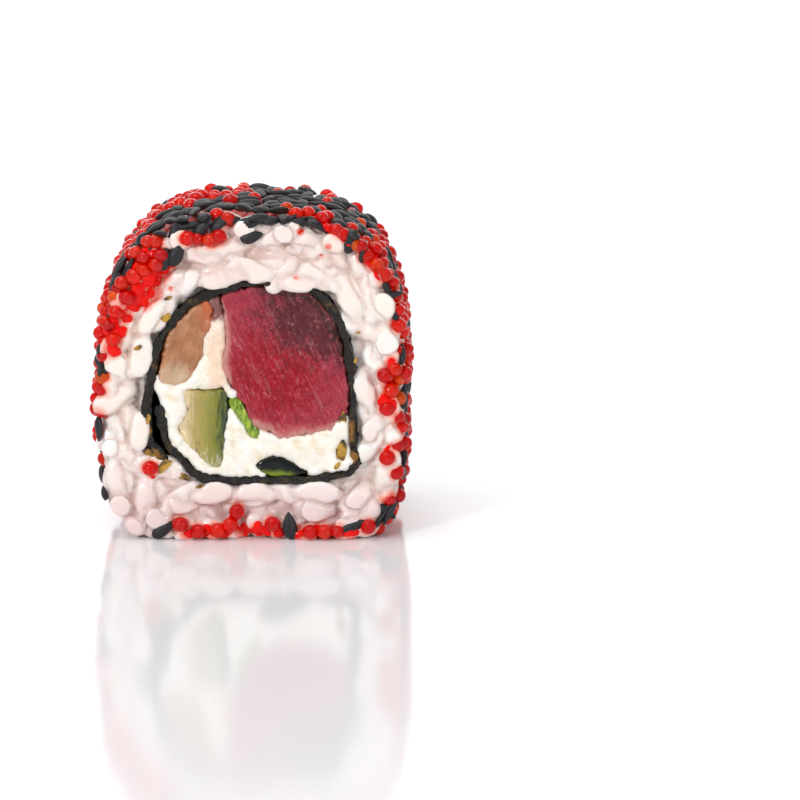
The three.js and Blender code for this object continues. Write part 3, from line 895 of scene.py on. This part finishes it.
def side_spot(stretch, patchy):
    """A random place on the rice's side, in the patches that eggs keep to or in those they leave free."""
    share = random.uniform(stretch["from"], stretch["to"])
    y = random.uniform(*stretch["y"]) * MM
    place, out, round_it = on_side(share, y)
    if rough(place, 6.0 * MM, 11.0) * patchy < random.uniform(-0.45, 0.05):
        return side_spot(stretch, patchy)
    return {"at": place, "out": out, "along": round_it}


def cut_place(x, z):
    """A place on the front cut, or on the rounded rim beside it where the point lies past the cut."""
    away = Vector((x * MM, 0, z * MM)) - CORE_CENTRE
    direction = math.atan2(away.z, away.x)
    edge = rim_reach(direction) * 0.965
    past = min(1.0, max(0.0, (away.length - edge + 0.6 * MM) / (1.2 * MM)))
    place = CORE_CENTRE + towards(direction) * min(away.length, edge)
    place.y = (0.2 + 0.7 * past) * MM - CUT
    out = (towards(direction) * past + Vector((0, past - 1.15, 0))).normalized()
    return {"at": place, "out": out, "along": Vector((1, 0, 0))}


taken = []
egg_spots = [cut_place(x, z) for x, z in CUT_EGGS]
seed_spots = []
for stretch in STRETCHES:
    egg_spots += spaced(stretch["eggs"] // 2, EGG_ROOM, lambda: side_spot(stretch, 1), taken)
    seed_spots += spaced(stretch["seeds"], SEED_ROOM, lambda: side_spot(stretch, -1), taken)
    egg_spots += spaced(stretch["eggs"] // 2, EGG_ROOM, lambda: side_spot(stretch, 1), taken)

roe_shape = bmesh.new()
shade = roe_shape.verts.layers.float.new("shade")
egg_places = []
for n, spot in enumerate(egg_spots):
    radius = EGG_RADIUS * random.uniform(0.84, 1.1)
    centre = spot["at"] + spot["out"] * radius * random.uniform(0.25, 0.65)
    centre.z = max(centre.z, radius + 0.02 * MM)
    centre.y = max(radius - FURTHEST, min(FURTHEST - radius, centre.y))
    egg_places.append(centre)
    egg = bmesh.ops.create_icosphere(
        roe_shape, subdivisions=3 if n < len(CUT_EGGS) else 2, radius=radius,
        matrix=Matrix.Translation(centre) @ Matrix.Diagonal((1, 1, random.uniform(0.86, 1.0), 1)),
    )["verts"]
    tone = random.random()
    for v in egg:
        v[shade] = tone

roe = finished("roe_eggs", roe_shape)
roe.data.shade_smooth()

roe_paint = Paint(
    "flying_roe", Subsurface_Weight=0.2, Subsurface_Radius=(1.0, 0.03, 0.01), Subsurface_Scale=0.6 * MM,
    Transmission_Weight=0.45, IOR=1.36, Coat_Weight=0.35, Coat_Roughness=0.02, Specular_IOR_Level=0.05,
)
tone = roe_paint.stored("shade")
roe_paint.set("Base Color", roe_paint.ramp(
    tone, (0.0, seen(220, 4, 2)), (0.5, seen(244, 18, 2)), (0.88, seen(252, 40, 3)), (0.97, seen(253, 92, 10)),
))
roe_paint.set("Roughness", 0.05 + 0.04 * tone)
roe_paint.on(roe)
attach(roe, "root")

eggs_near = KDTree(len(egg_places))
for i, place in enumerate(egg_places):
    eggs_near.insert(place, i)
eggs_near.balance()
stain_store = rice.data.attributes.new("stain", "FLOAT", "POINT")
for v, value in zip(rice.data.vertices, stain_store.data):
    _, _, gap = eggs_near.find(v.co)
    soaked = max(0.0, 1 - max(0.0, gap - STAIN_FROM) / STAIN_REACH)
    value.value = soaked * (0.75 + 0.4 * rough(v.co, 1.2 * MM, 3.0))
    if v.co.z > 32 * MM and abs(v.co.y) < CUT - 1.4 * CORE_SUNK:
        value.value = max(value.value, 0.75 + 0.5 * rough(v.co, 1.8 * MM, 6.0))
    if v.co.y < 2 * MM - CUT:
        for x, z, reach in JUICE + CUT_DROPS:
            drop = math.hypot(v.co.x - x * MM, v.co.z - z * MM) / (reach * MM)
            value.value = max(value.value, min(0.75, 1.2 * (1.5 - drop)))


# Roe juice. Eggs that broke under the mat leave a wet red gel. It lies between the other eggs, in smears on
# the cut below them, and in small drops on the rice.
JUICE_STEP = 0.16 * MM
JUICE_FACES = 60000
BRIDGED = (1.3 * MM, 2.5 * MM)
BRIDGE_CHANCE = 0.55
BRIDGE_SUNK = 0.45 * MM
DROPS_TO_A_SMEAR = 7


def add_drop(shape, centre, out, reach, flat):
    """One flattened drop of gel that lies against the rice."""
    drop = bmesh.ops.create_icosphere(shape, subdivisions=2, radius=reach)["verts"]
    turn = out.to_track_quat("Z", "Y").to_matrix().to_4x4()
    squash = Matrix.Diagonal((1, 1, flat, 1))
    bmesh.ops.transform(shape, matrix=Matrix.Translation(centre) @ turn @ squash, verts=drop)


juice_shape = bmesh.new()
for i, (spot, place) in enumerate(zip(egg_spots, egg_places)):
    for _, j, gap in eggs_near.find_range(place, BRIDGED[1]):
        if i < j and gap > BRIDGED[0] and random.random() < BRIDGE_CHANCE:
            middle = (place + egg_places[j]) / 2 - spot["out"] * BRIDGE_SUNK
            middle.z = max(middle.z, 0.8 * MM)
            middle.y = max(1.1 * MM - FURTHEST, min(FURTHEST - 1.1 * MM, middle.y))
            add_drop(juice_shape, middle, spot["out"], min(1.05 * MM, gap * random.uniform(0.36, 0.5)), 0.5)


def tree_of(piece):
    """A piece as it is now, for rays that look for its surface."""
    return BVHTree.FromPolygons([v.co for v in piece.data.vertices], [p.vertices for p in piece.data.polygons])


rice_tree = tree_of(rice)
for x, z, reach in JUICE + CUT_DROPS:
    for _ in range(DROPS_TO_A_SMEAR):
        turn, away = random.uniform(0, math.tau), reach * random.uniform(0, 0.75) * MM
        spot = cut_place(x + away / MM * math.cos(turn), z + away / MM * math.sin(turn))
        lain = rice_tree.ray_cast(spot["at"] + Vector((0, -3 * MM, 0)), Vector((0, 1, 0)))[0] or spot["at"]
        lain.z = max(lain.z, 0.6 * MM)
        add_drop(juice_shape, lain, spot["out"], reach * random.uniform(0.4, 0.65) * MM, 0.34)
above_table(juice_shape)
juice = modified(finished("roe_juice", juice_shape), "REMESH", mode="VOXEL", voxel_size=JUICE_STEP)
modified(juice, "SMOOTH", factor=0.5, iterations=4)
thinned(juice, JUICE_FACES)
worked(juice, lambda place, out: out * rough(place, 0.8 * MM, 7.0) * 0.08 * MM)

juice_paint = Paint(
    "red_roe_juice", Subsurface_Weight=0.2, Subsurface_Radius=(1.0, 0.05, 0.02), Subsurface_Scale=0.5 * MM,
    Transmission_Weight=0.1, IOR=1.35, Roughness=0.15, Coat_Weight=0.35, Coat_Roughness=0.05,
    Specular_IOR_Level=0.05,
)
juice_paint.set("Base Color", juice_paint.mix(
    juice_paint.between(juice_paint.grain(1.4 * MM), 0.35, 0.7), seen(236, 4, 2), seen(252, 20, 4),
))
juice_paint.on(juice)
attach(juice, "root")


# Seaweed flakes. Scraps that the knife tore from the sheet and dragged onto the cut rice. They are one leaf
# thick, so light shows them olive and amber where the sheet itself is black.
FLAKE_PROUD = 0.22 * MM
FLAKES = [
    (-11.9, 10.6, 1.3, -0.5), (-10.6, 9.4, 1.1, 0.9), (-8.3, 7.9, 0.8, -0.4), (-13.7, 24.2, 0.5, 0.5),
    (-9.9, 30.3, 0.5, 0.3), (-10.2, 27.9, 0.8, 0.6), (11.3, 15.2, 1.0, 1.5), (11.1, 11.3, 1.4, 1.45),
    (10.6, 9.4, 0.6, 0.9), (-12.6, 15.2, 0.6, 1.3), (12.9, 22.6, 0.4, 1.2), (-6.2, 6.8, 0.6, 0.1),
    (13.2, 26.0, 0.35, 0.4),
]

trees = [rice_tree, tree_of(cheese), tree_of(sheet)]
flake_shape = bmesh.new()
for x, z, reach, lie in FLAKES:
    start = Vector((x, 0, z)) * MM - Vector((0, CUT + 3 * MM, 0))
    hits = [tree.ray_cast(start, Vector((0, 1, 0)), 4 * MM)[0] for tree in trees]
    lain = min((hit for hit in hits if hit), key=lambda hit: hit.y, default=start + Vector((0, 3 * MM, 0)))
    lain.y -= FLAKE_PROUD
    flake = bmesh.ops.create_circle(flake_shape, cap_ends=True, segments=14, radius=reach * MM)["verts"]
    for v in flake:
        v.co *= 1 + 0.45 * rough(v.co, 0.8 * MM, x)
        v.co.y *= 0.5
        v.co.z = 0.12 * rough(v.co, 0.6 * MM, z) * MM
    turn = Matrix.Rotation(-lie, 4, "Y") @ Matrix.Rotation(math.pi / 2, 4, "X")
    bmesh.ops.transform(flake_shape, matrix=Matrix.Translation(lain) @ turn, verts=flake)
bmesh.ops.solidify(flake_shape, geom=flake_shape.faces[:], thickness=0.12 * MM)
flakes = finished("seaweed_flakes", flake_shape)

flake_paint = Paint("torn_seaweed", Roughness=0.35, Coat_Weight=0.2)
flake_paint.set("Base Color", flake_paint.ramp(
    flake_paint.grain(1.0 * MM, detail=3.0),
    (0.36, seen(52, 40, 16)), (0.46, seen(128, 94, 24)), (0.6, seen(190, 146, 48)),
))
flake_paint.on(flakes)
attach(flakes, "root")


# Black sesame. Flat dry seeds, blunt at one end and pointed at the other, that lie in the wet roe and stick
# to the rice at every angle.
SEED = {"long": 1.68 * MM, "wide": 0.86 * MM, "thick": 0.46 * MM}
CUT_SEEDS = [
    (-10.8, 1.4, 0.6), (4.7, 1.8, 1.7), (12.4, 1.7, 0.4), (16.2, 2.5, 0.9), (17.2, 2.6, -0.5),
    (0.3, 37.9, 0.25), (-9.0, 37.9, 1.45), (-8.8, 35.9, 1.2), (-5.6, 39.0, 0.9), (-3.4, 39.5, 0.6),
    (-0.1, 39.3, 0.1), (-8.2, 39.5, -0.1), (-7.3, 39.9, 0.1), (-12.3, 37.5, 1.1), (-13.6, 37.3, 0.7),
    (-15.1, 34.3, 1.1), (-10.4, 35.1, 1.3), (6.8, 39.9, -0.2), (8.6, 39.9, -0.7), (12.4, 37.2, 1.2),
    (14.4, 36.5, 1.35), (18.0, 32.6, 1.9), (17.4, 30.7, 0.2), (18.7, 29.2, 1.9), (-17.9, 27.4, 1.6),
    (-18.0, 21.9, 1.5), (2.6, 39.8, 0.0), (4.6, 40.2, 0.5), (1.2, 40.6, 0.1), (-2.0, 40.4, -0.2),
    (6.0, 41.0, 0.3),
]


def add_seed(shape, centre, along, out):
    """One seed with its point at the end that `along` shows."""
    length, girth = random.uniform(0.86, 1.1), random.uniform(0.88, 1.1)
    bend = random.uniform(-0.12, 0.12)
    seed = bmesh.ops.create_uvsphere(shape, u_segments=12, v_segments=9, radius=1)["verts"]
    for v in seed:
        narrow = 1 - 0.34 * v.co.z - 0.16 * v.co.z ** 2
        v.co.x = v.co.x * narrow + bend * v.co.z ** 2
        v.co.y *= narrow * (1 - 0.3 * v.co.x ** 2)
    scale = Matrix.Diagonal((SEED["wide"] * girth, SEED["thick"] * girth, SEED["long"] * length, 1))
    bmesh.ops.transform(shape, matrix=Matrix.Translation(centre) @ lying(along, out) @ scale, verts=seed)


sesame_shape = bmesh.new()
for spot in seed_spots:
    along = Matrix.Rotation(random.uniform(0, math.tau), 3, spot["out"]) @ spot["along"]
    tilted = spot["out"] + along * random.gauss(0, 0.28) + along.cross(spot["out"]) * random.gauss(0, 0.3)
    centre = spot["at"] + spot["out"] * random.uniform(0.35, 0.8) * MM
    add_seed(sesame_shape, centre, along, tilted.normalized())
for x, z, lie in CUT_SEEDS:
    spot = cut_place(x, z)
    centre = spot["at"] + spot["out"] * 0.4 * MM
    centre.z = max(centre.z, 1.2 * MM)
    add_seed(sesame_shape, centre, towards(lie), spot["out"] + Vector((0.15, 0, 0.2)))

above_table(sesame_shape)
sesame = finished("sesame_seeds", sesame_shape)
sesame.data.shade_smooth()

sesame_paint = Paint("black_sesame", Specular_IOR_Level=0.4)
husk = sesame_paint.grain(0.45 * MM, detail=3.0)
sesame_paint.set("Base Color", sesame_paint.mix(husk, seen(14, 14, 17), seen(42, 41, 45)))
sesame_paint.set("Roughness", 0.36 + 0.25 * husk)
sesame_paint.relief(husk, 0.06 * MM)
sesame_paint.on(sesame)
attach(sesame, "root")


# Studio. The roll stands on a glossy white table under soft light from above, from both sides and from
# behind. It is seen a little from above.
ELEVATION = math.radians(12)
DISTANCE = 490 * MM
FOCAL_LENGTH = 180
AIM = Vector((18.3, -12.5, 17.6)) * MM
TABLE_SIDE = 6.0
SKY_STRENGTH = 0.39
LAMPS = [
    {"name": "overhead", "at": (-0.15, -0.1, 0.75), "size": 0.5, "watts": 2.3},
    {"name": "front_left", "at": (-0.55, -0.75, 0.4), "size": 0.18, "watts": 4.1},
    {"name": "front_right", "at": (0.7, -0.65, 0.3), "size": 0.17, "watts": 2.2},
    {"name": "behind", "at": (0.0, 1.3, 0.35), "size": 1.6, "watts": 10.0},
]

table_shape = bmesh.new()
bmesh.ops.create_grid(table_shape, x_segments=1, y_segments=1, size=TABLE_SIDE / 2)
table = finished("table", table_shape)
table_paint = Paint("white_table", Base_Color=(0.9, 0.9, 0.92, 1), Roughness=0.11, Specular_IOR_Level=0.5)
table_paint.on(table)

for lamp in LAMPS:
    light = bpy.data.lights.new(lamp["name"], "AREA")
    light.energy = lamp["watts"]
    light.size = lamp["size"]
    source = bpy.data.objects.new(lamp["name"], light)
    source.location = lamp["at"]
    source.rotation_euler = (-source.location).to_track_quat("-Z", "Y").to_euler()
    bpy.context.scene.collection.objects.link(source)

world = bpy.data.worlds.new("studio")
world.use_nodes = True
sky = world.node_tree.nodes["Background"]
sky.inputs["Color"].default_value = (1, 1, 1, 1)
sky.inputs["Strength"].default_value = SKY_STRENGTH
bpy.context.scene.world = world
bpy.context.scene.view_settings.view_transform = "Standard"

camera = bpy.data.objects.new("camera", bpy.data.cameras.new("camera"))
camera.data.lens = FOCAL_LENGTH
camera.data.sensor_width = 36
camera.data.clip_start = 0.01
back = Vector((0, -math.cos(ELEVATION), math.sin(ELEVATION)))
camera.location = AIM + back * DISTANCE
camera.rotation_euler = (-back).to_track_quat("-Z", "Y").to_euler()
bpy.context.scene.collection.objects.link(camera)
bpy.context.scene.camera = camera
